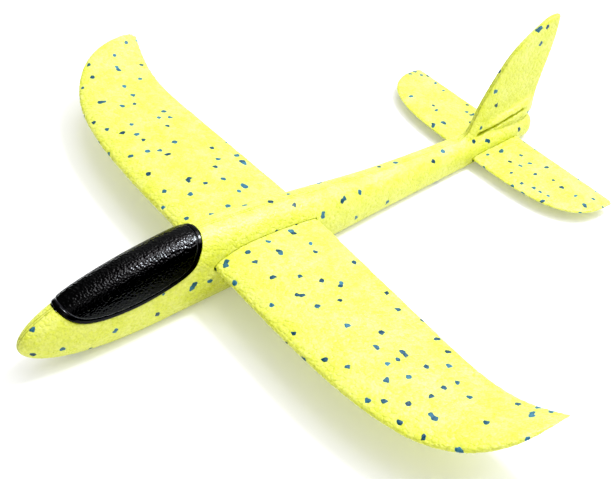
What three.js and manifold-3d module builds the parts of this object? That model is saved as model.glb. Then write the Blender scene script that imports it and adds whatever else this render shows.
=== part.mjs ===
// Hand-launch toy glider moulded in expanded bead foam: a fuselage with its fin, a one-piece
// wing and a one-piece tailplane that push through slots, a lift-off canopy and a nose weight.
// Millimetres, +Z up, nose towards -Y, +X is the glider's left wing. The origin lies on the
// flat of the belly, in the middle plane, under the wing's trailing edge.
import * as THREE from 'three';
import { LoftGeometry } from 'three/addons/geometries/LoftGeometry.js';
import { mergeVertices } from 'three/addons/utils/BufferGeometryUtils.js';
import Module from 'manifold-3d';

const GAP = 0.3;

// Fuselage: each station is [y, half width, top, bottom] before the ends are rounded off
const NOSE_Y = -211.3;
const NOSE_Z = 26.3;
const NOSE_LENGTH = 90;
const TAIL_Y = 219.3;
const TAIL_Z = 14;
const TAIL_LENGTH = 8;
const BODY_POWER = 2.4;
const BODY_STATIONS = [
  [-212, 16.4, 53.0, -1.0],
  [-160, 16.4, 53.5, -1.0],
  [-125, 16.7, 55.2, -1.0],
  [-90, 17.6, 56.3, -1.0],
  [-50, 18.2, 52.0, -1.0],
  [0, 16.4, 43.1, -1.0],
  [60, 13.2, 32.7, -1.0],
  [120, 11.4, 25.7, -0.7],
  [170, 10.2, 21.2, -0.3],
  [222, 7.4, 19.0, 0.4],
];
const BODY_SIDES = 40;
const BODY_STEPS = 24;
const NOSE_STEPS = 9;
const TAIL_STEPS = 5;

// Fin, as side-view points [y, z]
const FIN_THICKNESS = 4.8;
const FIN_BEVEL = 1.7;
const FIN_LEADING = [[148, 18], [157, 35.5], [166, 51.5], [181, 71.5], [192, 82.8], [205, 91], [217, 97]];
const FIN_TIP = [[226.5, 100.3], [235.2, 99.6]];
const FIN_TRAILING = [[233.6, 84], [230, 69], [225, 53], [221, 38], [219, 24], [213, 12]];

// Swelling round the empty upper slot: [y, half width, half height, middle z]
const BOSS_STATIONS = [
  [158, 2.0, 2.5, 21.0],
  [174, 4.8, 5.2, 24.8],
  [191, 6.2, 7.2, 27.0],
  [205, 6.4, 7.8, 27.6],
  [212, 5.4, 7.2, 27.6],
  [217, 3.2, 5.4, 27.6],
];
const UPPER_SLOT = { middleY: 184, middleZ: 25.6, length: 49, height: 2.6, tilt: 11 };

// Wing: half thickness and camber fall from the root to the tip by the same amount
const WING = {
  halfSpan: 240,
  straightHalf: 30,
  trailingY: 1.4,
  trailingZ: 30.2,
  chord: 82.9,
  leadingRise: 2.4,
  taper: 0.031,
  sweepStart: 144,
  sweep: 13.6,
  sweepPower: 2.5,
  roundStart: 48,
  roundPower: 3.17,
  upturnStart: 181,
  upturn: 14.7,
  upturnPower: 2.2,
  halfThickness: 4.5,
  camber: 3.3,
  thinning: 1.5,
  trailingHalf: 1.0,
  tipRound: 14,
  cornerRadius: 0,
};

// Tailplane: flat, with a straight trailing edge and rounded tips
const TAILPLANE = {
  halfSpan: 106.5,
  straightHalf: 12,
  trailingY: 198.8,
  trailingZ: 7.9,
  chord: 47.7,
  leadingRise: 1.0,
  taper: 0,
  sweepStart: 104,
  sweep: 0,
  sweepPower: 1,
  roundStart: 12,
  roundPower: 3.06,
  upturnStart: 104,
  upturn: 0,
  upturnPower: 1,
  halfThickness: 2.1,
  camber: 0,
  thinning: 0.5,
  trailingHalf: 1.0,
  tipRound: 8,
  cornerRadius: 4,
};
const CREST = 0.3;
const CAMBER_CREST = 0.35;
const NOSE_BLUNTNESS = 2.6;
const TAPER_POWER = 1.35;
const SECTION_STEPS = 13;
const SPAN_STEPS = 17;

// Canopy: lower edge in side view, front to rear, [y, z]
const CANOPY_EDGE = [
  [-188, 54],
  [-184, 46.2],
  [-178, 38.8],
  [-170, 34.2],
  [-158, 31.6],
  [-145, 30.9],
  [-131, 31.4],
  [-116, 33.4],
  [-103, 36.6],
  [-94.5, 40.8],
  [-89.5, 46.4],
  [-84.8, 52.5],
  [-80, 61],
];
const CANOPY_STEPS = 30;
const CANOPY_PROUD = 0.8;
const CANOPY_THICKNESS = 1.6;
const ABOVE_ALL = 80;

const WEIGHT = { radius: 4, length: 18, y: -166, topZ: 46.6, chamfer: 0.6 };

const wasm = await Module();
wasm.setup();

function toSolid(geometry) {
  const bare = new THREE.BufferGeometry();
  bare.setAttribute('position', geometry.attributes.position);
  bare.setIndex(geometry.index);
  const merged = mergeVertices(bare, 1e-4);
  const vertProperties = new Float32Array(merged.attributes.position.array);
  const triVerts = new Uint32Array(merged.index.array);
  return new wasm.Manifold(new wasm.Mesh({ numProp: 3, vertProperties, triVerts }));
}

function toGeometry(solid) {
  const { vertProperties, triVerts } = solid.getMesh();
  const geometry = new THREE.BufferGeometry();
  geometry.setAttribute('position', new THREE.BufferAttribute(vertProperties, 3));
  geometry.setIndex(new THREE.BufferAttribute(triVerts, 1));
  geometry.computeVertexNormals();
  return geometry;
}

// Value of one column of a station table at y, on a smooth curve through the stations
function stationValue(stations, column, y) {
  const last = stations.length - 1;
  let i = 0;
  while (i < last - 1 && y > stations[i + 1][0]) i += 1;
  const slope = (k) => {
    const before = stations[Math.max(k - 1, 0)];
    const after = stations[Math.min(k + 1, last)];
    return (after[column] - before[column]) / (after[0] - before[0]);
  };
  const run = stations[i + 1][0] - stations[i][0];
  const t = (y - stations[i][0]) / run;
  const start = stations[i][column];
  const rise = stations[i + 1][column] - start;
  const early = slope(i) * run;
  const late = slope(i + 1) * run;
  return start + t * (early + t * (3 * rise - 2 * early - late + t * (early + late - 2 * rise)));
}

// Quarter-ellipse growth from 0 at an end to 1 at the distance where the rounding stops
function rounding(distance, length) {
  const rest = 1 - THREE.MathUtils.clamp(distance / length, 0, 1);
  return Math.sqrt(1 - rest * rest);
}

function superPower(value, power) {
  return Math.sign(value) * Math.abs(value) ** (2 / power);
}

// Ring of a fuselage or swelling section, ordered for a loft that runs along +Y
function ring(y, halfWidth, top, bottom) {
  const points = [];
  for (let i = 0; i < BODY_SIDES; i += 1) {
    const angle = (2 * Math.PI * i) / BODY_SIDES;
    const x = -halfWidth * superPower(Math.cos(angle), BODY_POWER);
    const z = (top + bottom) / 2 + ((top - bottom) / 2) * superPower(Math.sin(angle), BODY_POWER);
    points.push(new THREE.Vector3(x, y, Math.max(z, 0)));
  }
  return points;
}

function bodyPlaces() {
  const places = [];
  for (let i = 0; i < NOSE_STEPS; i += 1) {
    const angle = (Math.PI / 2) * ((i + 0.4) / NOSE_STEPS);
    places.push(NOSE_Y + NOSE_LENGTH * (1 - Math.cos(angle)));
  }
  const first = NOSE_Y + NOSE_LENGTH;
  const last = TAIL_Y - TAIL_LENGTH;
  for (let i = 0; i <= BODY_STEPS; i += 1) places.push(first + ((last - first) * i) / BODY_STEPS);
  for (let i = TAIL_STEPS - 1; i >= 0; i -= 1) {
    const angle = (Math.PI / 2) * ((i + 0.4) / TAIL_STEPS);
    places.push(TAIL_Y - TAIL_LENGTH * (1 - Math.cos(angle)));
  }
  return places;
}

// Fuselage skin moved out by a distance (in, when negative)
function bodySolid(offset) {
  const rings = bodyPlaces().map((y) => {
    const nose = rounding(y - NOSE_Y, NOSE_LENGTH);
    const tail = rounding(TAIL_Y - y, TAIL_LENGTH);
    const middle = y < 0 ? NOSE_Z : TAIL_Z;
    const full = nose * tail;
    const halfWidth = stationValue(BODY_STATIONS, 1, y) * full + offset;
    const top = middle + (stationValue(BODY_STATIONS, 2, y) - middle) * full + offset;
    const bottom = middle + (stationValue(BODY_STATIONS, 3, y) - middle) * full - offset;
    return ring(y, Math.max(halfWidth, 0.4), Math.max(top, middle + 0.4), Math.min(bottom, middle - 0.4));
  });
  return toSolid(new LoftGeometry(rings, { capStart: true, capEnd: true }));
}

// Solid with a side-view outline [y, z], as wide as twice halfWidth along X
function sidePrism(outline, halfWidth, bevel = 0) {
  const geometry = new THREE.ExtrudeGeometry(new THREE.Shape(outline), {
    depth: 2 * (halfWidth - bevel),
    steps: 1,
    bevelEnabled: bevel > 0,
    bevelThickness: bevel,
    bevelSize: bevel,
    bevelOffset: -bevel,
    bevelSegments: 3,
  });
  geometry.translate(0, 0, bevel - halfWidth);
  const along = new THREE.Vector3(0, 1, 0);
  const up = new THREE.Vector3(0, 0, 1);
  const across = new THREE.Vector3(1, 0, 0);
  geometry.applyMatrix4(new THREE.Matrix4().makeBasis(along, up, across));
  return toSolid(geometry);
}

function splinePoints(pairs, steps) {
  const curve = new THREE.SplineCurve(pairs.map(([y, z]) => new THREE.Vector2(y, z)));
  return curve.getPoints(steps);
}

function finSolid() {
  const leading = splinePoints([...FIN_LEADING, ...FIN_TIP], 18);
  const trailing = splinePoints([FIN_TIP[1], ...FIN_TRAILING], 10).slice(1);
  return sidePrism([...leading, ...trailing], FIN_THICKNESS / 2, FIN_BEVEL);
}

function bossSolid() {
  const first = BOSS_STATIONS[0][0];
  const last = BOSS_STATIONS[BOSS_STATIONS.length - 1][0];
  const rings = [];
  const steps = 10;
  for (let i = 0; i <= steps; i += 1) {
    const y = first + (last - first) * Math.sin((Math.PI / 2) * (i / steps));
    const halfHeight = stationValue(BOSS_STATIONS, 2, y);
    const middle = stationValue(BOSS_STATIONS, 3, y);
    rings.push(ring(y, stationValue(BOSS_STATIONS, 1, y), middle + halfHeight, middle - halfHeight));
  }
  return toSolid(new LoftGeometry(rings, { capStart: true, capEnd: true }));
}

function upperSlotSolid() {
  const shape = new THREE.Path();
  const radius = UPPER_SLOT.height / 2;
  const half = UPPER_SLOT.length / 2 - radius;
  shape.absarc(half, 0, radius, -Math.PI / 2, Math.PI / 2);
  shape.absarc(-half, 0, radius, Math.PI / 2, (3 * Math.PI) / 2);
  const centre = new THREE.Vector2(0, 0);
  const tilt = THREE.MathUtils.degToRad(UPPER_SLOT.tilt);
  const outline = shape.getPoints(6).map((point) => {
    point.rotateAround(centre, tilt);
    return new THREE.Vector2(UPPER_SLOT.middleY + point.x, UPPER_SLOT.middleZ + point.y);
  });
  return sidePrism(outline, 20);
}

// Share of the way from a start to the tip, from 0 to 1, at a place along the half span
function tipShare(surface, start, x) {
  return THREE.MathUtils.clamp((x - start) / (surface.halfSpan - start), 0, 1);
}

// Leading and trailing edge of a flying surface at a place along its half span
function planform(surface, x) {
  const sweepPart = tipShare(surface, surface.sweepStart, x);
  const roundPart = tipShare(surface, surface.roundStart, x);
  const keep = (1 - roundPart ** surface.roundPower) ** (1 / surface.roundPower);
  const tapered = surface.taper * (surface.halfSpan - surface.straightHalf);
  const tipY = surface.trailingY - tapered + surface.sweep;
  const leading = tipY - (tipY - surface.trailingY + surface.chord) * keep;
  const cornerPart = rounding(surface.halfSpan - x, surface.cornerRadius || 1);
  const corner = surface.cornerRadius * (1 - cornerPart);
  const inset = surface.taper * Math.max(x - surface.straightHalf, 0);
  const trailing = surface.trailingY - inset + surface.sweep * sweepPart ** surface.sweepPower - corner;
  return { leading, trailing };
}

function upturnAt(surface, x) {
  return surface.upturn * tipShare(surface, surface.upturnStart, x) ** surface.upturnPower;
}

// Closed section [y, z] of a flying surface, trailing edge first, over the top to the nose
function section(surface, x, grow = 0) {
  const edges = planform(surface, x);
  const leading = edges.leading - grow;
  const chord = edges.trailing + grow - leading;
  const outward = Math.max(x - surface.straightHalf, 0) / (surface.halfSpan - surface.straightHalf);
  const thin = surface.thinning * outward;
  const tip = rounding(surface.halfSpan - x, surface.tipRound);
  const half = (surface.halfThickness - thin) * tip + grow;
  const trailingHalf = surface.trailingHalf * tip + grow;
  const camber = Math.max(surface.camber - thin, 0);
  const base = surface.trailingZ + upturnAt(surface, x);
  const place = (u, side) => {
    const front = Math.max(1 - u / CREST, 0);
    const back = Math.max((u - CREST) / (1 - CREST), 0);
    const swell = half * (1 - front ** NOSE_BLUNTNESS) ** (1 / NOSE_BLUNTNESS);
    const thickness = swell - (half - trailingHalf) * back ** TAPER_POWER;
    const reach = u < CAMBER_CREST ? CAMBER_CREST : 1 - CAMBER_CREST;
    const bend = camber * (1 - ((u - CAMBER_CREST) / reach) ** 2);
    const chordLine = base + surface.leadingRise * (1 - u);
    return new THREE.Vector2(leading + chord * u, chordLine + bend + side * thickness);
  };
  const upper = [];
  const lower = [];
  for (let i = 0; i <= SECTION_STEPS; i += 1) {
    const u = 1 - Math.cos((Math.PI / 2) * (i / SECTION_STEPS));
    upper.unshift(place(u, 1));
    if (i > 0) lower.push(place(u, -1));
  }
  return [...upper, ...lower];
}

// Places along the half span: even over the straight part, then closing up towards the tip
function spanPlaces(surface) {
  const places = [0, surface.straightHalf];
  const reach = surface.halfSpan - surface.roundStart;
  for (let i = 1; i < SPAN_STEPS; i += 1) {
    const angle = (Math.PI / 2) * (i / SPAN_STEPS);
    const x = surface.roundStart + reach * Math.sin(angle) ** (2 / surface.roundPower);
    if (x > surface.straightHalf + 1) places.push(x);
  }
  return places.filter((x) => {
    const { leading, trailing } = planform(surface, x);
    return trailing - leading > 4;
  });
}

function surfaceGeometry(surface) {
  const half = spanPlaces(surface);
  const places = [...half.slice(1).reverse().map((x) => -x), ...half];
  const rings = places.map((x) => {
    const outline = section(surface, Math.abs(x));
    return outline.map((point) => new THREE.Vector3(x, point.x, point.y));
  });
  const geometry = new LoftGeometry(rings, { capStart: true, capEnd: true });
  return toGeometry(toSolid(geometry));
}

// Side-view region of the canopy, its edge moved out by a distance
function canopyRegion(grow) {
  const curve = new THREE.SplineCurve(CANOPY_EDGE.map(([y, z]) => new THREE.Vector2(y, z)));
  const edge = curve.getPoints(CANOPY_STEPS).map((point, i) => {
    const tangent = curve.getTangent(i / CANOPY_STEPS);
    return new THREE.Vector2(point.x + grow * tangent.y, point.y - grow * tangent.x);
  });
  const front = edge[0].x;
  const rear = edge[edge.length - 1].x;
  edge.push(new THREE.Vector2(rear, ABOVE_ALL), new THREE.Vector2(front, ABOVE_ALL));
  return sidePrism(edge, 30);
}

function weightProfile(grow, bottom, top) {
  const radius = WEIGHT.radius + grow;
  const chamfer = WEIGHT.chamfer;
  return [
    new THREE.Vector2(0, bottom),
    new THREE.Vector2(radius - chamfer, bottom),
    new THREE.Vector2(radius, bottom + chamfer),
    new THREE.Vector2(radius, top - chamfer),
    new THREE.Vector2(radius - chamfer, top),
    new THREE.Vector2(0, top),
  ];
}

// Upright round bar on the weight's axis
function weightSolid(grow, bottom, top) {
  const geometry = new THREE.LatheGeometry(weightProfile(grow, bottom, top), 24);
  geometry.rotateX(Math.PI / 2);
  geometry.translate(0, WEIGHT.y, 0);
  return toSolid(geometry);
}

function fuselageGeometry() {
  const weightBottom = WEIGHT.topZ - WEIGHT.length;
  const seat = bodySolid(CANOPY_PROUD - CANOPY_THICKNESS - GAP);
  const moulding = bodySolid(0).add(finSolid()).add(bossSolid());
  const slots = [
    sidePrism(section(WING, 0, GAP), 40),
    sidePrism(section(TAILPLANE, 0, GAP), 40),
    upperSlotSolid(),
    canopyRegion(GAP).subtract(seat),
    weightSolid(GAP, weightBottom - GAP, ABOVE_ALL),
  ];
  return toGeometry(slots.reduce((solid, slot) => solid.subtract(slot), moulding));
}

function canopyGeometry() {
  const outer = bodySolid(CANOPY_PROUD).intersect(canopyRegion(0));
  return toGeometry(outer.subtract(bodySolid(CANOPY_PROUD - CANOPY_THICKNESS)));
}

function node(name, geometry, color, roughness, metalness) {
  const mesh = new THREE.Mesh(geometry, new THREE.MeshStandardMaterial({ color, roughness, metalness }));
  mesh.name = name;
  return mesh;
}

const FOAM = 0xdfe84a;
const weightBar = weightSolid(0, WEIGHT.topZ - WEIGHT.length, WEIGHT.topZ);
const glider = new THREE.Group();
glider.add(
  node('fuselage', fuselageGeometry(), FOAM, 0.75, 0),
  node('main_wing', surfaceGeometry(WING), FOAM, 0.75, 0),
  node('tailplane', surfaceGeometry(TAILPLANE), FOAM, 0.75, 0),
  node('canopy', canopyGeometry(), 0x101012, 0.3, 0),
  node('nose_weight', toGeometry(weightBar), 0x9a9da1, 0.35, 1),
);

export default glider;
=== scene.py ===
"""Hand-launch foam glider: bead foam fuselage with its fin, push-through wing and tailplane,
black formed canopy and steel nose weight, on a plain white floor."""
import math
import random

import bpy
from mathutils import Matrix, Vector
from mathutils.kdtree import KDTree


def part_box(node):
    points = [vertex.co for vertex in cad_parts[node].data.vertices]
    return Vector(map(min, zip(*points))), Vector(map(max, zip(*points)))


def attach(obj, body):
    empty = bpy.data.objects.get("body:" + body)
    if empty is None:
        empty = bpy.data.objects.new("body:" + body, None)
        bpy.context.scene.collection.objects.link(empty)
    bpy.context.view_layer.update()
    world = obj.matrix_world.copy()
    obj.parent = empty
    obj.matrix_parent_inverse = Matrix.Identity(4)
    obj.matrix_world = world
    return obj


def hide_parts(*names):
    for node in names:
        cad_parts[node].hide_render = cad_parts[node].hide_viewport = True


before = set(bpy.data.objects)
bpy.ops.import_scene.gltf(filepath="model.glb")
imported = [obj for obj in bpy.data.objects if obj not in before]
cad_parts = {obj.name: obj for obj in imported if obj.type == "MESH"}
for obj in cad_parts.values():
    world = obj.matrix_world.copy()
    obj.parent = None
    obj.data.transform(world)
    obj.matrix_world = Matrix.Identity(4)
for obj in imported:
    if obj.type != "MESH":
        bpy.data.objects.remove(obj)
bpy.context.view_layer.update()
WING_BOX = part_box("main_wing")
TAIL_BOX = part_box("tailplane")
WEIGHT_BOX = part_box("nose_weight")

bl_info = {
    "name": "Foam glider",
    "version": (1, 0, 0),
    "blender": (4, 5, 0),
    "location": "3D View > Sidebar > Glider",
    "description": "Builds a hand-launch bead foam glider piece by piece",
    "category": "Object",
}

MM = 0.001

# How finely the shapes are pulled out, lengths in millimetres; FIRST_RING is how far the
# first ring stands off a rounded end, as a share of a step
BODY_SIDES = 72
BODY_STEP = 5
NOSE_RINGS = 22
TAIL_RINGS = 8
FIRST_RING = 0.3
SMALL_BODY_SIDES = 48
SMALL_BODY_STEPS = 18
SECTION_STEPS = 26
SPAN_STEP = 6
TIP_RINGS = 56
TIP_CROWDING = 0.8
BEVEL_STEPS = 4
MOULD_SMOOTHING = 3

# Fuselage stations: [y, half width, top, bottom] in millimetres, before the ends are rounded
BODY_STATIONS = [
    (-212, 16.4, 53.0, -1.0),
    (-160, 16.4, 53.5, -1.0),
    (-125, 16.7, 55.2, -1.0),
    (-90, 17.6, 56.3, -1.0),
    (-50, 18.2, 52.0, -1.0),
    (0, 16.4, 43.1, -1.0),
    (60, 13.2, 32.7, -1.0),
    (120, 11.4, 25.7, -0.7),
    (170, 10.2, 21.2, -0.3),
    (222, 7.4, 19.0, 0.4),
]
BODY_POWER = 2.4
NOSE_Y, NOSE_Z, NOSE_LENGTH = -211.3, 26.3, 90
TAIL_Y, TAIL_Z, TAIL_LENGTH = 219.3, 14, 8
THINNEST = 0.4

# Fin outline [y, z]
FIN_LEADING = [
    (148, 18), (157, 35.5), (166, 51.5), (181, 71.5), (192, 82.8), (205, 91), (217, 97),
]
FIN_TIP = [(226.5, 100.3), (234.6, 100.2)]
FIN_TRAILING = [
    (235.2, 99.1), (233.6, 84), (230, 69), (225, 53), (221, 38), (219, 24), (213, 12),
]
FIN_BEVEL = 1.9

# Fairing that leads the top of the fuselage up into the fin: [y, half width, top, bottom]
FIN_ROOT_STATIONS = [
    (139, 2.0, 22.4, 14),
    (147, 4.2, 24.0, 14),
    (153, 4.6, 27.0, 14),
    (158, 4.2, 32.0, 14),
    (163, 3.0, 38.0, 16),
]
# The corner there is smoothed: its place, reach, rounds, and how soon the smoothing is full
FIN_ROOT_CORNER = (0, 152, 26)
FIN_ROOT_REACH = 20
FIN_ROOT_SMOOTHING = 12
FIN_ROOT_RISE = 1.6

# Swelling round the empty upper slot: [y, half width, top, bottom]
SWELLING_STATIONS = [
    (158, 2.0, 25.0, 18.5),
    (174, 4.8, 29.8, 19.6),
    (191, 6.2, 33.0, 19.8),
    (205, 6.5, 35.6, 19.8),
    (212, 5.8, 36.8, 20.4),
    (218, 3.4, 37.2, 22.2),
]
SWELLING_POWER = 3.6
UPPER_SLOT = {"y": 184, "z": 25.6, "length": 49, "height": 2.5, "tilt": 11}

# Flying surfaces, right half, in millimetres
WING = dict(
    half_span=WING_BOX[1].x / MM + 0.35, straight_half=30,
    trailing_y=1.4, trailing_z=30.2, chord=82.9, leading_rise=2.4, taper=0.031,
    sweep_start=144, sweep=13.6, sweep_power=2.5, round_start=48, round_power=3.17,
    upturn_start=181, upturn=14.7, upturn_power=2.2,
    half_thickness=4.5, camber=3.3, thinning=1.5, trailing_half=1.0,
    tip_round=14, corner_radius=0,
)
TAILPLANE = dict(
    half_span=TAIL_BOX[1].x / MM + 0.7, straight_half=12,
    trailing_y=198.8, trailing_z=7.9, chord=47.7, leading_rise=1.0, taper=0,
    sweep_start=104, sweep=0, sweep_power=1, round_start=12, round_power=3.06,
    upturn_start=104, upturn=0, upturn_power=1,
    half_thickness=2.1, camber=0, thinning=0.5, trailing_half=1.0,
    tip_round=8, corner_radius=4,
)
NARROWEST_CHORD = 4

# Section of the flying surfaces: where it is thickest and most bent, as shares of the chord
CREST = 0.3
CAMBER_CREST = 0.35
NOSE_BLUNTNESS = 2.6
TAPER_POWER = 1.35

# Canopy: lower edge in side view, front to rear, [y, z]
CANOPY_EDGE = [
    (-188, 54), (-184, 46.2), (-178, 38.8), (-170, 34.2), (-158, 31.6), (-145, 30.9),
    (-131, 31.4), (-116, 33.4), (-103, 36.6), (-94.5, 40.8), (-89.5, 46.4), (-84.8, 52.5),
    (-80, 61),
]
# How far the seat under it is sunk into the fuselage
SEAT_DEPTH = 1.1

# Beads, in bead widths: how close two may be, and how far the slope of a crease reaches.
# TONE_DEPTH is how much deeper the palest bead lies than the darkest, as a share of a crease
BEAD_SPACING = 0.72
CREASE_SLOPE = 0.3
TONE_DEPTH = 0.35
# Blue beads are at least the first apart, and up to the second more; a few touch another
BLUE_LEAST, BLUE_EXTRA = 1.5, 2.2
BLUE_PAIRS = 0.14

# The mould's two parting creases: metres from the middle, half width, depth in the relief
PARTING_PLACE = 0.0009
PARTING_WIDTH = 0.0004
PARTING_DEPTH = 1.6


# ---- sizes and colours

class FoamSettings(bpy.types.PropertyGroup):
    """Look of the moulded bead foam"""

    bead: bpy.props.FloatProperty(
        name="Bead", description="Width of one bead in the skin", default=0.0037,
        min=0.001, max=0.02, unit="LENGTH")
    light: bpy.props.FloatVectorProperty(
        name="Light bead", description="Palest yellow bead", subtype="COLOR", size=3,
        default=(0.77, 0.79, 0.245), min=0, max=1)
    deep: bpy.props.FloatVectorProperty(
        name="Deep bead", description="Strongest yellow-green bead", subtype="COLOR", size=3,
        default=(0.68, 0.72, 0.105), min=0, max=1)
    blue_light: bpy.props.FloatVectorProperty(
        name="Pale blue bead", description="Palest of the mixed-in blue beads",
        subtype="COLOR", size=3, default=(0.065, 0.21, 0.30), min=0, max=1)
    blue_dark: bpy.props.FloatVectorProperty(
        name="Dark blue bead", description="Darkest of the mixed-in blue beads",
        subtype="COLOR", size=3, default=(0.012, 0.060, 0.105), min=0, max=1)
    blue_share: bpy.props.FloatProperty(
        name="Blue share", description="Share of the beads that are blue", default=0.040,
        min=0, max=1, subtype="FACTOR")
    relief: bpy.props.FloatProperty(
        name="Relief", description="Depth of the creases between beads", default=0.00017,
        min=0, max=0.001, unit="LENGTH")
    glow_depth: bpy.props.FloatProperty(
        name="Glow depth", description="How far light spreads inside the foam", default=0.003,
        min=0, max=0.02, unit="LENGTH")
    skin: bpy.props.FloatProperty(
        name="Skin mesh", description="Spacing of the moulded skin's mesh", default=0.00105,
        min=0.0005, max=0.01, unit="LENGTH")


class FuselageSettings(bpy.types.PropertyGroup):
    """Sizes of the fuselage"""

    fin_thickness: bpy.props.FloatProperty(
        name="Fin thickness", description="Thickness of the fin", default=0.0048,
        unit="LENGTH")
    slot_gap: bpy.props.FloatProperty(
        name="Slot gap", description="Clearance round the wing and the tailplane",
        default=0.0003, unit="LENGTH")


class CanopySettings(bpy.types.PropertyGroup):
    """Sizes and colour of the canopy"""

    sheet: bpy.props.FloatProperty(
        name="Sheet", description="Thickness of the formed sheet", default=0.0007,
        unit="LENGTH")
    rim: bpy.props.FloatProperty(
        name="Rim", description="Width of the flat rim", default=0.0032, unit="LENGTH")
    crown: bpy.props.FloatProperty(
        name="Crown", description="Rise of the middle above the rim", default=0.0005,
        unit="LENGTH")
    color: bpy.props.FloatVectorProperty(
        name="Colour", description="Colour of the formed sheet", subtype="COLOR", size=3,
        default=(0.0015, 0.0015, 0.0018), min=0, max=1)


class StageSettings(bpy.types.PropertyGroup):
    """Floor, lights and camera"""

    floor: bpy.props.FloatProperty(
        name="Floor", description="Side of the square floor", default=2.4, unit="LENGTH")
    glow: bpy.props.FloatProperty(
        name="Floor glow", description="Light that comes up through the white floor",
        default=0.175)
    key_power: bpy.props.FloatProperty(
        name="Key light", description="Power of the large light overhead", default=26.0,
        unit="POWER")
    spark_power: bpy.props.FloatProperty(
        name="Small light", description="Power of the small light that gives the gloss",
        default=14.0, unit="POWER")
    sky: bpy.props.FloatProperty(
        name="Surround", description="Brightness of the white surround", default=0.65)


class GliderSettings(bpy.types.PropertyGroup):
    """All sizes and colours of the glider"""

    foam: bpy.props.PointerProperty(type=FoamSettings)
    fuselage: bpy.props.PointerProperty(type=FuselageSettings)
    canopy: bpy.props.PointerProperty(type=CanopySettings)
    stage: bpy.props.PointerProperty(type=StageSettings)


# ---- shape helpers

def clamp(value):
    """Value kept between 0 and 1."""
    return min(max(value, 0.0), 1.0)


def station_value(stations, column, y):
    """Value of one column of a station table at y, on a smooth curve through the stations."""
    last = len(stations) - 1
    i = 0
    while i < last - 1 and y > stations[i + 1][0]:
        i += 1

    def slope(k):
        before = stations[max(k - 1, 0)]
        after = stations[min(k + 1, last)]
        return (after[column] - before[column]) / (after[0] - before[0])

    run = stations[i + 1][0] - stations[i][0]
    t = (y - stations[i][0]) / run
    start = stations[i][column]
    rise = stations[i + 1][column] - start
    early = slope(i) * run
    late = slope(i + 1) * run
    bend = 3 * rise - 2 * early - late
    return start + t * (early + t * (bend + t * (early + late - 2 * rise)))


def rounding(distance, length):
    """Quarter-ellipse growth from 0 at an end to 1 where the rounding stops."""
    rest = 1 - clamp(distance / length)
    return math.sqrt(1 - rest * rest)


def super_power(value, power):
    """Sine or cosine reshaped, so that a ring drawn with it is boxier as power grows."""
    return math.copysign(abs(value) ** (2 / power), value)


def spline(points, steps):
    """Smooth curve through [y, z] points, as a list of points."""
    found = []
    last = len(points) - 1
    for step in range(steps + 1):
        place = last * step / steps
        i = min(int(place), last - 1)
        t = place - i
        p0 = points[max(i - 1, 0)]
        p1 = points[i]
        p2 = points[i + 1]
        p3 = points[min(i + 2, last)]
        found.append(tuple(
            0.5 * (2 * b + t * (c - a) + t * t * (2 * a - 5 * b + 4 * c - d)
                   + t * t * t * (3 * b - a - 3 * c + d))
            for a, b, c, d in zip(p0, p1, p2, p3)))
    return found


def body_values(y, offset=0.0):
    """Half width, top and bottom of the fuselage at y, its skin moved out by offset."""
    full = rounding(y - NOSE_Y, NOSE_LENGTH) * rounding(TAIL_Y - y, TAIL_LENGTH)
    middle = NOSE_Z if y < 0 else TAIL_Z
    half = station_value(BODY_STATIONS, 1, y) * full + offset
    top = middle + (station_value(BODY_STATIONS, 2, y) - middle) * full + offset
    bottom = middle + (station_value(BODY_STATIONS, 3, y) - middle) * full - offset
    return max(half, THINNEST), max(top, middle + THINNEST), min(bottom, middle - THINNEST)


def ring_point(half, top, bottom, angle, power):
    """Sideways place and height of a point of a ring, angle 90 degrees at the top."""
    x = half * super_power(math.cos(angle), power)
    z = (top + bottom) / 2 + (top - bottom) / 2 * super_power(math.sin(angle), power)
    return x, z


def body_point(y, angle, offset=0.0):
    """Point of the fuselage skin at y, flat at the belly where the glider stands."""
    x, z = ring_point(*body_values(y, offset), angle, BODY_POWER)
    return x, y, max(z, 0.0)


def even_places(first, last, step):
    """Places from first to last, evenly spaced by no more than step."""
    count = max(int(math.ceil((last - first) / step)), 1)
    return [first + (last - first) * i / count for i in range(count + 1)]


def end_places(length, count):
    """Distances from a rounded end, closer together towards the end."""
    turns = [math.pi / 2 * (i + FIRST_RING) / count for i in range(count)]
    return [length * (1 - math.cos(turn)) for turn in turns]


def body_rings(offset=0.0):
    """Rings along the fuselage, closing up on the rounded ends."""
    nose = [NOSE_Y + distance for distance in end_places(NOSE_LENGTH, NOSE_RINGS)]
    tail = [TAIL_Y - distance for distance in end_places(TAIL_LENGTH, TAIL_RINGS)]
    middle = even_places(NOSE_Y + NOSE_LENGTH, TAIL_Y - TAIL_LENGTH, BODY_STEP)
    return [
        [body_point(y, 2 * math.pi * i / BODY_SIDES, offset) for i in range(BODY_SIDES)]
        for y in nose + middle + tail[::-1]
    ]


def station_rings(stations, power):
    """Rings of a small body given by stations; a high power makes its sections boxier."""
    first = stations[0][0]
    last = stations[-1][0]
    rings = []
    for i in range(SMALL_BODY_STEPS + 1):
        y = first + (last - first) * i / SMALL_BODY_STEPS
        sizes = [station_value(stations, column, y) for column in (1, 2, 3)]
        ring = []
        for k in range(SMALL_BODY_SIDES):
            x, z = ring_point(*sizes, 2 * math.pi * k / SMALL_BODY_SIDES, power)
            ring.append((x, y, z))
        rings.append(ring)
    return rings


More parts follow.
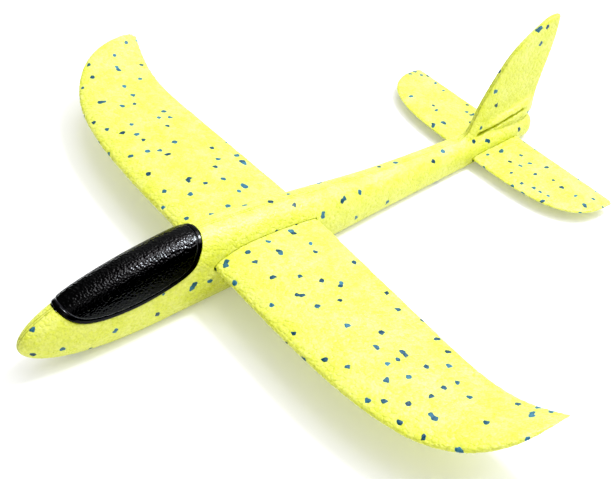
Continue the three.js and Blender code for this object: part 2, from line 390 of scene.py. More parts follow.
def planform(surface, x):
    """Leading and trailing edge of a flying surface at x along its half span."""
    half_span = surface["half_span"]
    sweep_part = clamp((x - surface["sweep_start"]) / (half_span - surface["sweep_start"]))
    round_part = clamp((x - surface["round_start"]) / (half_span - surface["round_start"]))
    power = surface["round_power"]
    keep = (1 - round_part ** power) ** (1 / power)
    tapered = surface["taper"] * (half_span - surface["straight_half"])
    tip_y = surface["trailing_y"] - tapered + surface["sweep"]
    leading = tip_y - (tip_y - surface["trailing_y"] + surface["chord"]) * keep
    corner_part = rounding(half_span - x, surface["corner_radius"] or 1)
    corner = surface["corner_radius"] * (1 - corner_part)
    inset = surface["taper"] * max(x - surface["straight_half"], 0)
    swept = surface["sweep"] * sweep_part ** surface["sweep_power"]
    return leading, surface["trailing_y"] - inset + swept - corner


def section(surface, x, grow=0.0):
    """Closed section [y, z] of a flying surface, trailing edge first, over the top."""
    half_span = surface["half_span"]
    straight = surface["straight_half"]
    leading, trailing = planform(surface, x)
    leading -= grow
    chord = trailing + grow - leading
    outward = max(x - straight, 0) / (half_span - straight)
    thin = surface["thinning"] * outward
    tip = rounding(half_span - x, surface["tip_round"])
    half = (surface["half_thickness"] - thin) * tip + grow
    trailing_half = surface["trailing_half"] * tip + grow
    camber = max(surface["camber"] - thin, 0)
    part = clamp((x - surface["upturn_start"]) / (half_span - surface["upturn_start"]))
    base = surface["trailing_z"] + surface["upturn"] * part ** surface["upturn_power"]

    def place(u, side):
        front = max(1 - u / CREST, 0)
        back = max((u - CREST) / (1 - CREST), 0)
        swell = half * (1 - front ** NOSE_BLUNTNESS) ** (1 / NOSE_BLUNTNESS)
        thickness = swell - (half - trailing_half) * back ** TAPER_POWER
        reach = CAMBER_CREST if u < CAMBER_CREST else 1 - CAMBER_CREST
        bend = camber * (1 - ((u - CAMBER_CREST) / reach) ** 2)
        chord_line = base + surface["leading_rise"] * (1 - u)
        return leading + chord * u, chord_line + bend + side * thickness

    turns = [math.pi / 2 * i / SECTION_STEPS for i in range(SECTION_STEPS + 1)]
    places = [1 - math.cos(turn) for turn in turns]
    upper = [place(u, 1) for u in reversed(places)]
    lower = [place(u, -1) for u in places[1:]]
    return upper + lower


def surface_rings(surface):
    """Rings along the span, tip to tip, closing up towards the tips."""
    half_span = surface["half_span"]
    start = surface["round_start"]
    half = even_places(0, start, SPAN_STEP)
    for i in range(1, TIP_RINGS):
        part = math.sin(math.pi / 2 * i / TIP_RINGS) ** TIP_CROWDING
        half.append(start + (half_span - start) * part)

    def chord(x):
        leading, trailing = planform(surface, x)
        return trailing - leading

    kept = [x for x in half if chord(x) > NARROWEST_CHORD]
    places = [-x for x in reversed(kept[1:])] + kept
    return [[(x, y, z) for y, z in section(surface, abs(x))] for x in places]


# ---- modelling helpers

def clear_selection():
    """Leaves nothing selected, in object mode."""
    if bpy.context.mode != "OBJECT":
        bpy.ops.object.mode_set(mode="OBJECT")
    bpy.ops.object.select_all(action="DESELECT")


def pick(piece):
    """Makes one object the only selected one, and the active one."""
    clear_selection()
    piece.select_set(True)
    bpy.context.view_layer.objects.active = piece


def loft(name, rings):
    """Closed body pulled out of a round face, one ring of points after the other."""
    clear_selection()
    sides = len(rings[0])
    bpy.ops.mesh.primitive_circle_add(vertices=sides, radius=MM, fill_type="NGON")
    piece = bpy.context.object
    piece.name = name
    bpy.ops.object.mode_set(mode="EDIT")
    for _ in rings[1:]:
        bpy.ops.mesh.extrude_region_move(TRANSFORM_OT_translate={"value": (0, 0, MM)})
    bpy.ops.object.mode_set(mode="OBJECT")
    points = [Vector(point) * MM for ring in rings for point in ring]
    for vertex, point in zip(piece.data.vertices, points):
        vertex.co = point
    assert len(piece.data.vertices) == sides * len(rings)
    recalculate_normals(piece)
    return piece


def recalculate_normals(piece):
    """Merges doubled points and turns all faces outwards."""
    pick(piece)
    bpy.ops.object.mode_set(mode="EDIT")
    bpy.ops.mesh.select_all(action="SELECT")
    bpy.ops.mesh.remove_doubles(threshold=MM * 0.001)
    bpy.ops.mesh.normals_make_consistent(inside=False)
    bpy.ops.object.mode_set(mode="OBJECT")


def side_plate(name, outline, half_width, bevel=0.0):
    """Plate with a side-view outline [y, z], as wide as twice half_width along X."""
    clear_selection()
    bpy.ops.mesh.primitive_circle_add(vertices=len(outline), radius=MM, fill_type="NGON")
    piece = bpy.context.object
    piece.name = name
    for vertex, (y, z) in zip(piece.data.vertices, outline):
        vertex.co = Vector((-half_width, y, z)) * MM
    bpy.ops.object.mode_set(mode="EDIT")
    bpy.ops.mesh.select_all(action="SELECT")
    bpy.ops.mesh.extrude_region_move(
        TRANSFORM_OT_translate={"value": (2 * half_width * MM, 0, 0)})
    bpy.ops.object.mode_set(mode="OBJECT")
    recalculate_normals(piece)
    if bevel:
        modify(piece, "BEVEL", width=bevel * MM, segments=BEVEL_STEPS,
               limit_method="ANGLE", angle_limit=math.radians(60))
    return piece


def modify(piece, kind, **values):
    """Adds a modifier, sets its values and applies it."""
    pick(piece)
    modifier = piece.modifiers.new(kind.title(), kind)
    for key, value in values.items():
        setattr(modifier, key, value)
    bpy.ops.object.modifier_apply(modifier=modifier.name)


def combine(piece, other, operation):
    """Boolean with another object, which is used up."""
    modify(piece, "BOOLEAN", operation=operation, object=other, solver="MANIFOLD")
    bpy.data.objects.remove(other)


def mould(piece, spacing):
    """Turns a joined shape into one moulded skin with soft edges and filled corners."""
    modify(piece, "REMESH", mode="VOXEL", voxel_size=spacing, use_smooth_shade=True)
    modify(piece, "SMOOTH", factor=0.5, iterations=MOULD_SMOOTHING)


def soften(piece):
    """Smooths the skin round the corner at the fin's root, less and less towards its reach."""
    group = piece.vertex_groups.new(name="corner")
    centre = Vector(FIN_ROOT_CORNER) * MM
    for vertex in piece.data.vertices:
        weight = 1 - (vertex.co - centre).length / (FIN_ROOT_REACH * MM)
        if weight > 0:
            group.add([vertex.index], min(FIN_ROOT_RISE * weight, 1.0), "REPLACE")
    modify(piece, "SMOOTH", factor=0.5, iterations=FIN_ROOT_SMOOTHING,
           vertex_group=group.name)
    piece.vertex_groups.remove(piece.vertex_groups["corner"])


def point_tree(numbered):
    """Search tree of places, each given with its number."""
    tree = KDTree(len(numbered))
    for index, place in numbered:
        tree.insert(place, index)
    tree.balance()
    return tree


def random_spots(piece, spacing, seed):
    """Places of skin vertices picked at random, no two of them closer than the spacing."""
    vertices = piece.data.vertices
    tree = point_tree([(vertex.index, vertex.co) for vertex in vertices])
    order = list(range(len(vertices)))
    random.Random(seed).shuffle(order)
    free = [True] * len(vertices)
    spots = []
    for index in order:
        if free[index]:
            spots.append(vertices[index].co.copy())
            for _, near, _ in tree.find_range(vertices[index].co, spacing):
                free[near] = False
    return spots


def blue_choice(spots, count, width, dice):
    """Which beads are blue: spread at random but not crowded, with a few touching pairs."""
    everyone = point_tree(list(enumerate(spots)))
    order = list(range(len(spots)))
    dice.shuffle(order)
    barred = set()
    blue = set()
    for index in order:
        if len(blue) >= count:
            break
        if index in barred:
            continue
        blue.add(index)
        clear = (BLUE_LEAST + BLUE_EXTRA * dice.random()) * width
        around = everyone.find_range(spots[index], clear)
        barred.update(near for _, near, _ in around)
        if dice.random() < BLUE_PAIRS:
            blue.add(everyone.find_n(spots[index], 2)[1][1])
    return blue


def store(piece, found):
    """Keeps lists of one number for each vertex, for the materials to read by name."""
    for name, values in found.items():
        attribute = piece.data.attributes.new(name, "FLOAT", "POINT")
        attribute.data.foreach_set("value", values)


def bead_skin(piece, foam, size, share, front, seed):
    """Presses the beads into the skin: every vertex gets its bead's tone and its distance
    from the nearest crease, in bead widths, and the skin sinks a little at the creases,
    the more so by front where it faces forward."""
    width = foam.bead * size
    spots = random_spots(piece, BEAD_SPACING * width, seed)
    dice = random.Random(seed + 1)
    tones = [dice.random() for _ in spots]
    blue = blue_choice(spots, int(len(spots) * foam.blue_share * share), width, dice)
    yellow_tree = point_tree([(i, spot) for i, spot in enumerate(spots) if i not in blue])
    blue_tree = point_tree([(i, spots[i]) for i in sorted(blue)])
    found = {"bead_edge": [], "bead_tone": [], "blue_edge": [], "blue_tone": []}
    sink = []
    for vertex in piece.data.vertices:
        (_, nearest, near), (_, _, far) = yellow_tree.find_n(vertex.co, 2)
        _, nearest_blue, blue_distance = blue_tree.find(vertex.co)
        inside = (near - blue_distance) / 2 / width
        edge = abs(inside) if blue_distance < far else (far - near) / 2 / width
        tone = tones[nearest_blue if inside > 0 else nearest]
        found["bead_edge"].append(edge)
        found["bead_tone"].append(tone)
        found["blue_edge"].append(inside)
        found["blue_tone"].append(tones[nearest_blue])
        forward = clamp(-vertex.normal.y)
        depth = foam.relief * (1 + front * forward * forward)
        sink.append(-depth * ((1 - rounding(edge, CREASE_SLOPE)) + TONE_DEPTH * tone))
    store(piece, found)
    normals = [vertex.normal.copy() for vertex in piece.data.vertices]
    for vertex, normal, depth in zip(piece.data.vertices, normals, sink):
        vertex.co += normal * depth
    piece.data.update()


def shade(piece, angle):
    """Smooth shading, but for edges sharper than the angle."""
    pick(piece)
    bpy.ops.object.shade_smooth_by_angle(angle=math.radians(angle))


def finish_piece(piece, material, body, slot, *nodes):
    """Gives a piece its material, hangs it on the body that it rides on, and hides the CAD
    parts that it stands in for.
    """
    piece.data.materials.clear()
    piece.data.materials.append(material)
    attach(piece, body)
    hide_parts(*nodes)


# ---- material helpers

def add_node(tree, kind, **values):
    """Node with its properties set, and its sockets set by name or by number."""
    node = tree.nodes.new(kind)
    for key, value in values.items():
        if key == "inputs":
            for socket, setting in value.items():
                if isinstance(setting, bpy.types.NodeSocket):
                    tree.links.new(setting, node.inputs[socket])
                else:
                    node.inputs[socket].default_value = setting
        else:
            setattr(node, key, value)
    return node


def maths(tree, operation, a, b=0.0, limit=False):
    """Output of one sum on values or sockets, kept between 0 and 1 if limit is set."""
    node = add_node(tree, "ShaderNodeMath", operation=operation, use_clamp=limit,
                    inputs={0: a, 1: b})
    return node.outputs[0]


def ramp(tree, value, low, high, start=0.0, end=1.0):
    """Goes smoothly from start to end as the value goes from low to high."""
    node = add_node(tree, "ShaderNodeMapRange", interpolation_type="SMOOTHSTEP",
                    inputs={0: value, 1: low, 2: high, 3: start, 4: end})
    return node.outputs[0]


def noise(tree, vector, scale, detail):
    """Output of a noise texture, which mostly stays between 0.3 and 0.7."""
    return add_node(tree, "ShaderNodeTexNoise",
                    inputs={"Vector": vector, "Scale": scale, "Detail": detail}).outputs[0]


def stretch(tree, noise_value, start, end):
    """A noise stretched to run from start to end."""
    return ramp(tree, noise_value, 0.3, 0.7, start, end)


def blend_color(tree, share, first, second, mode="MIX"):
    """Colour between the first and the second, by share; each is a socket or a colour."""
    node = add_node(tree, "ShaderNodeMix", data_type="RGBA", blend_type=mode,
                    inputs={0: share})
    for index, value in ((6, first), (7, second)):
        if isinstance(value, bpy.types.NodeSocket):
            tree.links.new(value, node.inputs[index])
        else:
            node.inputs[index].default_value = (*value[:3], 1.0)
    return node.outputs[2]


def new_material(name):
    """Material with its node tree and its shader."""
    material = bpy.data.materials.new(name)
    material.use_nodes = True
    return material, material.node_tree, material.node_tree.nodes["Principled BSDF"]


def new_group(name, inputs, outputs):
    """Shader node group with named sockets: (name, socket type, default)."""
    tree = bpy.data.node_groups.new(name, "ShaderNodeTree")
    for label, kind, default in inputs:
        socket = tree.interface.new_socket(name=label, in_out="INPUT", socket_type=kind)
        if default is not None:
            socket.default_value = default
    for label, kind in outputs:
        tree.interface.new_socket(name=label, in_out="OUTPUT", socket_type=kind)
    return tree, tree.nodes.new("NodeGroupInput"), tree.nodes.new("NodeGroupOutput")


def foam_group():
    """Moulded beads: a tone for each bead, blue beads among them, and a creased skin."""
    if "Bead foam" in bpy.data.node_groups:
        return bpy.data.node_groups["Bead foam"]
    tree, start, end = new_group(
        "Bead foam",
        [("Vector", "NodeSocketVector", None), ("Bead Edge", "NodeSocketFloat", 0.0),
         ("Bead Tone", "NodeSocketFloat", 0.5), ("Blue Edge", "NodeSocketFloat", 0.0),
         ("Blue Tone", "NodeSocketFloat", 0.5),
         ("Light", "NodeSocketColor", (1, 1, 0, 1)), ("Deep", "NodeSocketColor", (1, 1, 0, 1)),
         ("Pale Blue", "NodeSocketColor", (0, 0, 1, 1)),
         ("Dark Blue", "NodeSocketColor", (0, 0, 1, 1))],
        [("Color", "NodeSocketColor"), ("Roughness", "NodeSocketFloat"),
         ("Height", "NodeSocketFloat")])
    vector = start.outputs["Vector"]
    edge = start.outputs["Bead Edge"]
    patch = noise(tree, vector, 70.0, 4.0)
    grain = noise(tree, vector, 800.0, 4.0)
    pits = add_node(tree, "ShaderNodeTexVoronoi",
                    inputs={"Vector": vector, "Scale": 420.0}).outputs["Distance"]

    tone = maths(tree, "MULTIPLY", start.outputs["Bead Tone"], 0.55)
    tone = maths(tree, "ADD", tone, stretch(tree, patch, -0.15, 0.35))
    tone = maths(tree, "ADD", tone, stretch(tree, grain, -0.3, 0.3), limit=True)
    yellow = blend_color(tree, tone, start.outputs["Deep"], start.outputs["Light"])
    crease = ramp(tree, edge, 0.0, 0.10, 0.35, 0.0)
    yellow = blend_color(tree, crease, yellow, start.outputs["Deep"])
    blue_tone = maths(tree, "ADD", start.outputs["Blue Tone"],
                      stretch(tree, grain, -0.25, 0.25), limit=True)
    blue = blend_color(tree, blue_tone, start.outputs["Dark Blue"], start.outputs["Pale Blue"])
    ragged = maths(tree, "ADD", start.outputs["Blue Edge"], stretch(tree, grain, -0.05, 0.05))
    color = blend_color(tree, ramp(tree, ragged, 0.0, 0.07), yellow, blue)
    speck = ramp(tree, noise(tree, vector, 560.0, 2.0), 0.34, 0.62, 0.90, 1.0)
    color = blend_color(tree, 1.0, color, speck, "MULTIPLY")
    tree.links.new(color, end.inputs["Color"])

    rough = ramp(tree, start.outputs["Bead Tone"], 0.0, 1.0, 0.32, 0.50)
    rough = maths(tree, "ADD", rough, stretch(tree, grain, -0.08, 0.08))
    tree.links.new(rough, end.inputs["Roughness"])

    height = maths(tree, "MULTIPLY", ramp(tree, edge, 0.0, 0.16), 0.4)
    height = maths(tree, "ADD", height, maths(tree, "MULTIPLY", grain, 0.5))
    height = maths(tree, "ADD", height, maths(tree, "MULTIPLY", pits, -0.4))
    tree.links.new(height, end.inputs["Height"])
    return tree


def foam_material(name, settings, parting=False):
    """Bead foam for one moulding, with the mould's two parting creases if asked for."""
    material, tree, shader = new_material(name)
    where = add_node(tree, "ShaderNodeTexCoord")
    group = add_node(tree, "ShaderNodeGroup", node_tree=foam_group())
    tree.links.new(where.outputs["Object"], group.inputs["Vector"])
    for label in ("Bead Edge", "Bead Tone", "Blue Edge", "Blue Tone"):
        stored = add_node(tree, "ShaderNodeAttribute",
                          attribute_name=label.lower().replace(" ", "_"))
        tree.links.new(stored.outputs["Fac"], group.inputs[label])
    colors = (settings.light, settings.deep, settings.blue_light, settings.blue_dark)
    for label, color in zip(("Light", "Deep", "Pale Blue", "Dark Blue"), colors):
        group.inputs[label].default_value = (*color, 1)
    height = group.outputs["Height"]
    if parting:
        apart = add_node(tree, "ShaderNodeSeparateXYZ", inputs={0: where.outputs["Object"]})
        away = maths(tree, "ABSOLUTE", apart.outputs[0])
        away = maths(tree, "ABSOLUTE", maths(tree, "SUBTRACT", away, PARTING_PLACE))
        line = ramp(tree, away, 0.0, PARTING_WIDTH, -PARTING_DEPTH, 0.0)
        height = maths(tree, "ADD", height, line)
    bump = add_node(tree, "ShaderNodeBump",
                    inputs={"Height": height, "Strength": 0.85, "Distance": 0.0006})
    tree.links.new(group.outputs["Color"], shader.inputs["Base Color"])
    tree.links.new(group.outputs["Roughness"], shader.inputs["Roughness"])
    tree.links.new(bump.outputs[0], shader.inputs["Normal"])
    shader.inputs["Coat Weight"].default_value = 0.12
    shader.inputs["Coat Roughness"].default_value = 0.28
    shader.inputs["Subsurface Weight"].default_value = 0.3
    shader.inputs["Subsurface Radius"].default_value = (1.0, 1.0, 0.4)
    shader.inputs["Subsurface Scale"].default_value = settings.glow_depth
    return material


def canopy_material(settings):
    """Glossy black formed sheet with a fine leather grain, and a painted highlight line along
    the crease inside its rim.
    """
    material, tree, shader = new_material("Black formed sheet")
    vector = add_node(tree, "ShaderNodeTexCoord").outputs["Object"]
    cells = add_node(tree, "ShaderNodeTexVoronoi", feature="SMOOTH_F1",
                     inputs={"Vector": vector, "Scale": 640.0, "Smoothness": 0.3})
    fine = noise(tree, vector, 620.0, 3.0)
    wave = noise(tree, vector, 90.0, 2.0)
    grain = add_node(tree, "ShaderNodeAttribute", attribute_name="grain")
    height = maths(tree, "ADD", maths(tree, "MULTIPLY", cells.outputs["Distance"], -1.0),
                   maths(tree, "MULTIPLY", fine, 0.5))
    height = maths(tree, "MULTIPLY", height, grain.outputs["Fac"])
    bump = add_node(tree, "ShaderNodeBump",
                    inputs={"Height": height, "Strength": 1.0, "Distance": 0.00033})
    tree.links.new(bump.outputs[0], shader.inputs["Normal"])
    color = blend_color(tree, wave, settings.color,
                        [value * 1.8 for value in settings.color])
    # Painted highlight: a thin grey line along the crease inside the rim, where the step's
    # shoulder catches the light; patchy along its length
    crease = add_node(tree, "ShaderNodeAttribute", attribute_name="crease").outputs["Fac"]
    crease = maths(tree, "MULTIPLY", crease, ramp(tree, wave, 0.35, 0.6, 0.3, 1.0))
    color = blend_color(tree, crease, color, (0.09, 0.09, 0.10))
    tree.links.new(color, shader.inputs["Base Color"])
    tree.links.new(stretch(tree, fine, 0.14, 0.22), shader.inputs["Roughness"])
    return material


def steel_material():
    """Turned steel with fine rings and a few dull patches."""
    material, tree, shader = new_material("Turned steel")
    vector = add_node(tree, "ShaderNodeTexCoord").outputs["Object"]
    rings = add_node(tree, "ShaderNodeTexWave", bands_direction="Z",
                     inputs={"Vector": vector, "Scale": 900.0, "Distortion": 0.6,
                             "Detail": 2.0})
    patch = noise(tree, vector, 260.0, 4.0)
    bump = add_node(tree, "ShaderNodeBump",
                    inputs={"Height": rings.outputs[1], "Strength": 0.25, "Distance": 0.00005})
    color = blend_color(tree, patch, (0.42, 0.43, 0.45), (0.58, 0.58, 0.58))
    tree.links.new(color, shader.inputs["Base Color"])
    tree.links.new(stretch(tree, patch, 0.25, 0.5), shader.inputs["Roughness"])
    tree.links.new(bump.outputs[0], shader.inputs["Normal"])
    shader.inputs["Metallic"].default_value = 1.0
    return material


# ---- operators

class GLIDER_OT_fuselage(bpy.types.Operator):
    """Mould the fuselage with its fin, then cut the slots, the seat and the weight hole"""

    bl_idname = "glider.fuselage"
    bl_label = "Fuselage and fin"

    LEADING_STEPS, TRAILING_STEPS, SEAT_STEPS, SLOT_END_STEPS = 36, 24, 144, 8
    HOLE_SIDES = 48
    HOLE_DEPTH = 0.06

    # Half widths of the cutters, and the height that the seat's cutter reaches
    UPPER_CUT, SLOT_CUT, SEAT_CUT, SEAT_TOP = 20, 40, 30, 80

    def execute(self, context):
        settings = context.scene.glider
        gap = settings.fuselage.slot_gap / MM
        fin_half = settings.fuselage.fin_thickness / MM / 2
        piece = loft("fuselage_moulding", body_rings())
        leading = spline(FIN_LEADING + FIN_TIP, self.LEADING_STEPS)
        trailing = spline(FIN_TRAILING, self.TRAILING_STEPS)
        combine(piece, side_plate("fin", leading + trailing, fin_half, FIN_BEVEL), "UNION")
        root = station_rings(FIN_ROOT_STATIONS, BODY_POWER)
        combine(piece, loft("fin_root", root), "UNION")
        swelling = station_rings(SWELLING_STATIONS, SWELLING_POWER)
        combine(piece, loft("swelling", swelling), "UNION")
        upper = side_plate("upper_slot", self.upper_slot(), self.UPPER_CUT)
        combine(piece, upper, "DIFFERENCE")
        mould(piece, settings.foam.skin)
        soften(piece)
        bead_skin(piece, settings.foam, size=0.95, share=0.66, front=0.0, seed=11)

        for name, surface in (("wing_slot", WING), ("tail_slot", TAILPLANE)):
            slot = side_plate(name, section(surface, 0, gap), self.SLOT_CUT)
            combine(piece, slot, "DIFFERENCE")
        seat = side_plate("canopy_seat", self.canopy_region(gap), self.SEAT_CUT)
        combine(seat, loft("seat_floor", body_rings(-SEAT_DEPTH)), "DIFFERENCE")
        combine(piece, seat, "DIFFERENCE")
        combine(piece, self.weight_hole(settings.fuselage.slot_gap), "DIFFERENCE")
        shade(piece, 38)
        material = foam_material("Fuselage foam", settings.foam, parting=True)
        finish_piece(piece, material, "fuselage", "fuselage_foam", "fuselage")
        return {"FINISHED"}

    def upper_slot(self):
        """Outline of the empty upper slot, round at both ends and tilted."""
        radius = UPPER_SLOT["height"] / 2
        half = UPPER_SLOT["length"] / 2 - radius
        tilt = math.radians(UPPER_SLOT["tilt"])
        outline = []
        for end, first in ((half, -90), (-half, 90)):
            for i in range(self.SLOT_END_STEPS + 1):
                angle = math.radians(first + 180 * i / self.SLOT_END_STEPS)
                y = end + radius * math.cos(angle)
                z = radius * math.sin(angle)
                outline.append((UPPER_SLOT["y"] + y * math.cos(tilt) - z * math.sin(tilt),
                                UPPER_SLOT["z"] + y * math.sin(tilt) + z * math.cos(tilt)))
        return outline

    def canopy_region(self, grow):
        """Side-view outline of all that lies above the canopy's edge, moved out by grow."""
        edge = spline(CANOPY_EDGE, self.SEAT_STEPS)
        moved = []
        for i, (y, z) in enumerate(edge):
            before = edge[max(i - 1, 0)]
            after = edge[min(i + 1, len(edge) - 1)]
            run = Vector((after[0] - before[0], after[1] - before[1])).normalized()
            moved.append((y + grow * run.y, z - grow * run.x))
        return moved + [(moved[-1][0], self.SEAT_TOP), (moved[0][0], self.SEAT_TOP)]

    def weight_hole(self, gap):
        """Drill for the nose weight's hole, which opens into the canopy's seat."""
        low, high = WEIGHT_BOX
        clear_selection()
        bpy.ops.mesh.primitive_cylinder_add(
            vertices=self.HOLE_SIDES, radius=(high.x - low.x) / 2 + gap,
            depth=self.HOLE_DEPTH,
            location=(0, (low.y + high.y) / 2, low.z - gap + self.HOLE_DEPTH / 2))
        hole = bpy.context.object
        hole.name = "weight_hole"
        bpy.ops.object.transform_apply()
        return hole


class GLIDER_OT_wing(bpy.types.Operator):
    """Mould the one-piece wing"""

    bl_idname = "glider.wing"
    bl_label = "Wing"

    def execute(self, context):
        foam = context.scene.glider.foam
        piece = loft("wing_moulding", surface_rings(WING))
        mould(piece, foam.skin)
        bead_skin(piece, foam, size=1.0, share=1.1, front=2.6, seed=23)
        shade(piece, 60)
        material = foam_material("Wing foam", foam)
        finish_piece(piece, material, "wing", "wing_foam", "main_wing")
        return {"FINISHED"}


class GLIDER_OT_tailplane(bpy.types.Operator):
    """Mould the one-piece tailplane"""

    bl_idname = "glider.tailplane"
    bl_label = "Tailplane"

    FINER = 0.75

    def execute(self, context):
        foam = context.scene.glider.foam
        piece = loft("tailplane_moulding", surface_rings(TAILPLANE))
        mould(piece, foam.skin * self.FINER)
        bead_skin(piece, foam, size=0.88, share=1.2, front=1.2, seed=37)
        shade(piece, 60)
        material = foam_material("Tailplane foam", foam)
        finish_piece(piece, material, "tailplane", "tail_foam", "tailplane")
        return {"FINISHED"}


class GLIDER_OT_canopy(bpy.types.Operator):
    """Form the canopy sheet over the fuselage: flat rim, crease and crowned middle"""

    bl_idname = "glider.canopy"
    bl_label = "Canopy"

    ROWS = 220
    COLUMNS = 150
    EDGE_STEPS = 2400

    # All in millimetres
    EDGE_SINK = 0.3
    EDGE_RISE = 1.2
    EDGE_ROUND = 0.9
    GROOVE_DEPTH = 0.28
    GROOVE_WIDTH = 0.5
    STEP_RISE = 0.4
    STEP_WIDTH = 0.8
    CROWN_REACH = 14
    # Width of the painted highlight line along the crease inside the rim
    CREASE_HIGHLIGHT_WIDTH = 0.3
    GRAIN_FADE = 2

    def execute(self, context):
        settings = context.scene.glider.canopy
        places, angles = self.arc_ends(spline(CANOPY_EDGE, self.EDGE_STEPS))
        clear_selection()
        bpy.ops.mesh.primitive_grid_add(
            x_subdivisions=self.COLUMNS, y_subdivisions=self.ROWS, size=0.1)
        piece = bpy.context.object
        piece.name = "canopy_sheet"
        grid = []
        for y, end in zip(places, angles):
            for i in range(self.COLUMNS + 1):
                side = math.sin(math.pi / 2 * (2 * i / self.COLUMNS - 1))
                grid.append((y, math.pi / 2 - (math.pi / 2 - end) * side))
        tree = point_tree(list(enumerate(self.border_points(places, angles))))
        rim = settings.rim / MM
        crown = settings.crown / MM
        grain = []
        crease = []
        for vertex, (y, angle) in zip(piece.data.vertices, grid):
            distance = tree.find(Vector(body_point(y, angle)))[2]
            vertex.co = Vector(body_point(y, angle, self.proud(distance, rim, crown))) * MM
            grain.append(clamp((distance - rim) / self.GRAIN_FADE))
            # Painted highlight: where the thin grey line along the crease just inside the rim
            # is painted, stored for the material
            aside = distance - rim - self.CREASE_HIGHLIGHT_WIDTH
            crease.append(math.exp(-(aside / self.CREASE_HIGHLIGHT_WIDTH) ** 2))
        store(piece, {"grain": grain, "crease": crease})
        recalculate_normals(piece)
        modify(piece, "SOLIDIFY", thickness=settings.sheet, offset=-1)
        shade(piece, 50)
        finish_piece(piece, canopy_material(settings), "canopy", "canopy_skin", "canopy")
        return {"FINISHED"}

    @staticmethod
    def border_points(places, angles):
        """Points close together along the canopy's edge on the fuselage skin, both sides."""
        points = []
        for i in range(len(places) - 1):
            for part in (0, 0.2, 0.4, 0.6, 0.8):
                y = places[i] + (places[i + 1] - places[i]) * part
                angle = angles[i] + (angles[i + 1] - angles[i]) * part
                x, y, z = body_point(y, angle)
                points += [Vector((x, y, z)), Vector((-x, y, z))]
        return points

    def arc_ends(self, edge):
        """Places along the canopy, and the angle where its edge meets the skin at each."""
        crossing = []
        for y, z in edge:
            _, top, bottom = body_values(y)
            height = (z - (top + bottom) / 2) / ((top - bottom) / 2)
            crossing.append((y, height))
        inside = [(y, height) for y, height in crossing if height < 1]
        start = crossing.index(inside[0])
        stop = crossing.index(inside[-1])
        inside.insert(0, self.meeting(crossing[start - 1], crossing[start]))
        inside.append(self.meeting(crossing[stop + 1], crossing[stop]))
        first, last = inside[0][0], inside[-1][0]
        places = []
        angles = []
        for i in range(self.ROWS + 1):
            y = (first + last) / 2 - (last - first) / 2 * math.cos(math.pi * i / self.ROWS)
            k = min(range(len(inside)), key=lambda n: abs(inside[n][0] - y))
            other = min(k + 1, len(inside) - 1) if y > inside[k][0] else max(k - 1, 0)
            height = inside[k][1]
            if other != k:
                share = abs((y - inside[k][0]) / (inside[other][0] - inside[k][0]))
                height += (inside[other][1] - height) * share
            sine = math.copysign(abs(height) ** (BODY_POWER / 2), height)
            places.append(y)
            angles.append(math.asin(max(-1.0, min(1.0, sine))))
        return places, angles

    @staticmethod
    def meeting(outside, inside):
        """Where the edge crosses the top of the skin, between two of its points."""
        share = (1 - inside[1]) / (outside[1] - inside[1])
        return inside[0] + share * (outside[0] - inside[0]), 1.0

    def proud(self, distance, rim, crown):
        """How far the sheet stands off the fuselage skin at a distance from its edge."""
        height = -self.EDGE_SINK + self.EDGE_RISE * rounding(distance, self.EDGE_ROUND)
        groove = (distance - rim) / self.GROOVE_WIDTH
        height -= self.GROOVE_DEPTH * math.exp(-groove * groove)
        step = clamp((distance - rim) / self.STEP_WIDTH)
        height += self.STEP_RISE * step * step * (3 - 2 * step)
        height += crown * rounding(max(distance - rim, 0), self.CROWN_REACH)
        return height


class GLIDER_OT_weight(bpy.types.Operator):
    """Give the steel nose weight its turned finish"""

    bl_idname = "glider.weight"
    bl_label = "Nose weight"

    def execute(self, context):
        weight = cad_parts["nose_weight"]
        weight.data.materials.clear()
        weight.data.materials.append(steel_material())
        return {"FINISHED"}


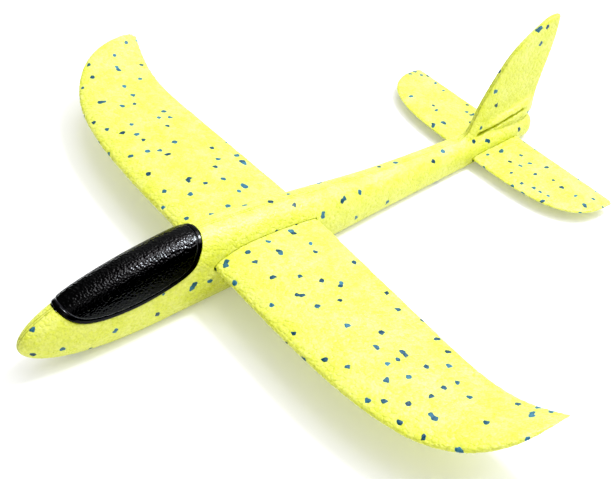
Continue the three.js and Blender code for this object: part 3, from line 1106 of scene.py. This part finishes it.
class GLIDER_OT_stage(bpy.types.Operator):
    """Lay the white floor, hang the lights and set up the camera"""

    bl_idname = "glider.stage"
    bl_label = "Floor, lights and camera"

    AZIMUTH = 53.866
    ELEVATION = 41.52
    DISTANCE = 0.7476
    TARGET = (0.0, 0.0, 0.020)
    LENS = 63.88
    SHIFT = (0.0071, -0.0327)

    # Large lights: name, direction, distance, side, and power as a share of the key light's
    LIGHTS = (
        ("key", (0.10, 0.44, 0.89), 1.8, 2.0, 1.0),
        ("fill", (0.70, -0.55, 0.60), 2.2, 1.6, 0.2),
        ("back", (-0.70, 0.45, 0.42), 2.0, 2.0, 0.18),
    )
    SPARK = ("spark", (0.14, 0.44, 0.87), 1.5, 0.3)
    SPARK_COLOR = (0.86, 0.93, 1.0)
    HORIZON_SHARE = 0.35

    # Tone before and after
    CONTRAST = ((0.045, 0.006), (0.11, 0.060), (0.25, 0.20), (0.50, 0.52), (0.75, 0.84))
    CONTRAST_END = (1.0, 1.08)

    def execute(self, context):
        settings = context.scene.glider.stage
        clear_selection()
        bpy.ops.mesh.primitive_plane_add(size=settings.floor, location=(0, 0, -0.0002))
        floor = bpy.context.object
        floor.name = "floor"
        material, _, shader = new_material("White floor")
        shader.inputs["Base Color"].default_value = (0.8, 0.8, 0.8, 1)
        shader.inputs["Emission Color"].default_value = (1, 1, 1, 1)
        shader.inputs["Emission Strength"].default_value = settings.glow
        shader.inputs["Roughness"].default_value = 0.9
        shader.inputs["Specular IOR Level"].default_value = 0.1
        floor.data.materials.append(material)

        for name, direction, distance, side, share in self.LIGHTS:
            self.light(context, name, direction, distance, side, settings.key_power * share)
        spark = self.light(context, *self.SPARK, settings.spark_power)
        spark.color = self.SPARK_COLOR

        context.scene.world = self.surround(settings)
        self.contrast(context.scene.view_settings)

        azimuth = math.radians(self.AZIMUTH)
        elevation = math.radians(self.ELEVATION)
        back = Vector((math.sin(azimuth) * math.cos(elevation),
                       -math.cos(azimuth) * math.cos(elevation), math.sin(elevation)))
        data = bpy.data.cameras.new("camera")
        data.lens = self.LENS
        data.sensor_width = 36
        data.shift_x, data.shift_y = self.SHIFT
        data.clip_start = 0.01
        camera = self.place(context, "camera", data, Vector(self.TARGET), back, self.DISTANCE)
        context.scene.camera = camera
        return {"FINISHED"}

    @staticmethod
    def place(context, name, data, middle, direction, distance):
        """Puts a light or the camera off the middle in a direction, aimed back at it."""
        thing = bpy.data.objects.new(name, data)
        context.collection.objects.link(thing)
        thing.location = middle + direction * distance
        thing.rotation_mode = "QUATERNION"
        thing.rotation_quaternion = direction.to_track_quat("Z", "Y")
        return thing

    def surround(self, settings):
        """White room, brighter overhead than at the horizon, plain white to the camera."""
        world = bpy.data.worlds.new("Surround")
        world.use_nodes = True
        tree = world.node_tree
        where = add_node(tree, "ShaderNodeTexCoord")
        apart = add_node(tree, "ShaderNodeSeparateXYZ", inputs={0: where.outputs["Generated"]})
        path = add_node(tree, "ShaderNodeLightPath")
        strength = ramp(tree, apart.outputs[2], 0.1, 0.9, settings.sky * self.HORIZON_SHARE,
                        settings.sky)
        strength = maths(tree, "MAXIMUM", strength, path.outputs["Is Camera Ray"])
        sky = tree.nodes["Background"]
        sky.inputs[0].default_value = (1, 1, 1, 1)
        tree.links.new(strength, sky.inputs[1])
        return world

    def contrast(self, view):
        """Firm contrast: dark tones go a little darker, and the pale floor reaches white."""
        view.view_transform = "Standard"
        view.use_curve_mapping = True
        curve = view.curve_mapping.curves[3]
        for before, after in self.CONTRAST:
            curve.points.new(before, after)
        curve.points[-1].location = self.CONTRAST_END
        view.curve_mapping.use_clip = False
        view.curve_mapping.update()

    def light(self, context, name, direction, distance, size, power):
        """Square light at a distance in a direction, aimed at the middle of the floor."""
        data = bpy.data.lights.new(name, "AREA")
        data.shape = "SQUARE"
        data.size = size
        data.energy = power
        aim = Vector(direction).normalized()
        self.place(context, name, data, Vector(), aim, distance)
        return data


class GLIDER_PT_panel(bpy.types.Panel):
    """Buttons for the glider's pieces"""

    bl_label = "Glider"
    bl_idname = "GLIDER_PT_panel"
    bl_space_type = "VIEW_3D"
    bl_region_type = "UI"
    bl_category = "Glider"

    def draw(self, context):
        for operator in OPERATORS:
            self.layout.operator(operator.bl_idname)
        for group in ("foam", "fuselage", "canopy", "stage"):
            settings = getattr(context.scene.glider, group)
            box = self.layout.box()
            box.label(text=group.title())
            for key in settings.bl_rna.properties.keys():
                if key not in ("rna_type", "name"):
                    box.prop(settings, key)


OPERATORS = (
    GLIDER_OT_fuselage,
    GLIDER_OT_wing,
    GLIDER_OT_tailplane,
    GLIDER_OT_canopy,
    GLIDER_OT_weight,
    GLIDER_OT_stage,
)
CLASSES = (
    FoamSettings,
    FuselageSettings,
    CanopySettings,
    StageSettings,
    GliderSettings,
    *OPERATORS,
    GLIDER_PT_panel,
)


def register():
    for cls in CLASSES:
        bpy.utils.register_class(cls)
    bpy.types.Scene.glider = bpy.props.PointerProperty(type=GliderSettings)


def unregister():
    del bpy.types.Scene.glider
    for cls in reversed(CLASSES):
        bpy.utils.unregister_class(cls)


def main():
    register()
    bpy.ops.glider.fuselage()
    bpy.ops.glider.wing()
    bpy.ops.glider.tailplane()
    bpy.ops.glider.canopy()
    bpy.ops.glider.weight()
    bpy.ops.glider.stage()


if __name__ == "__main__":
    main()
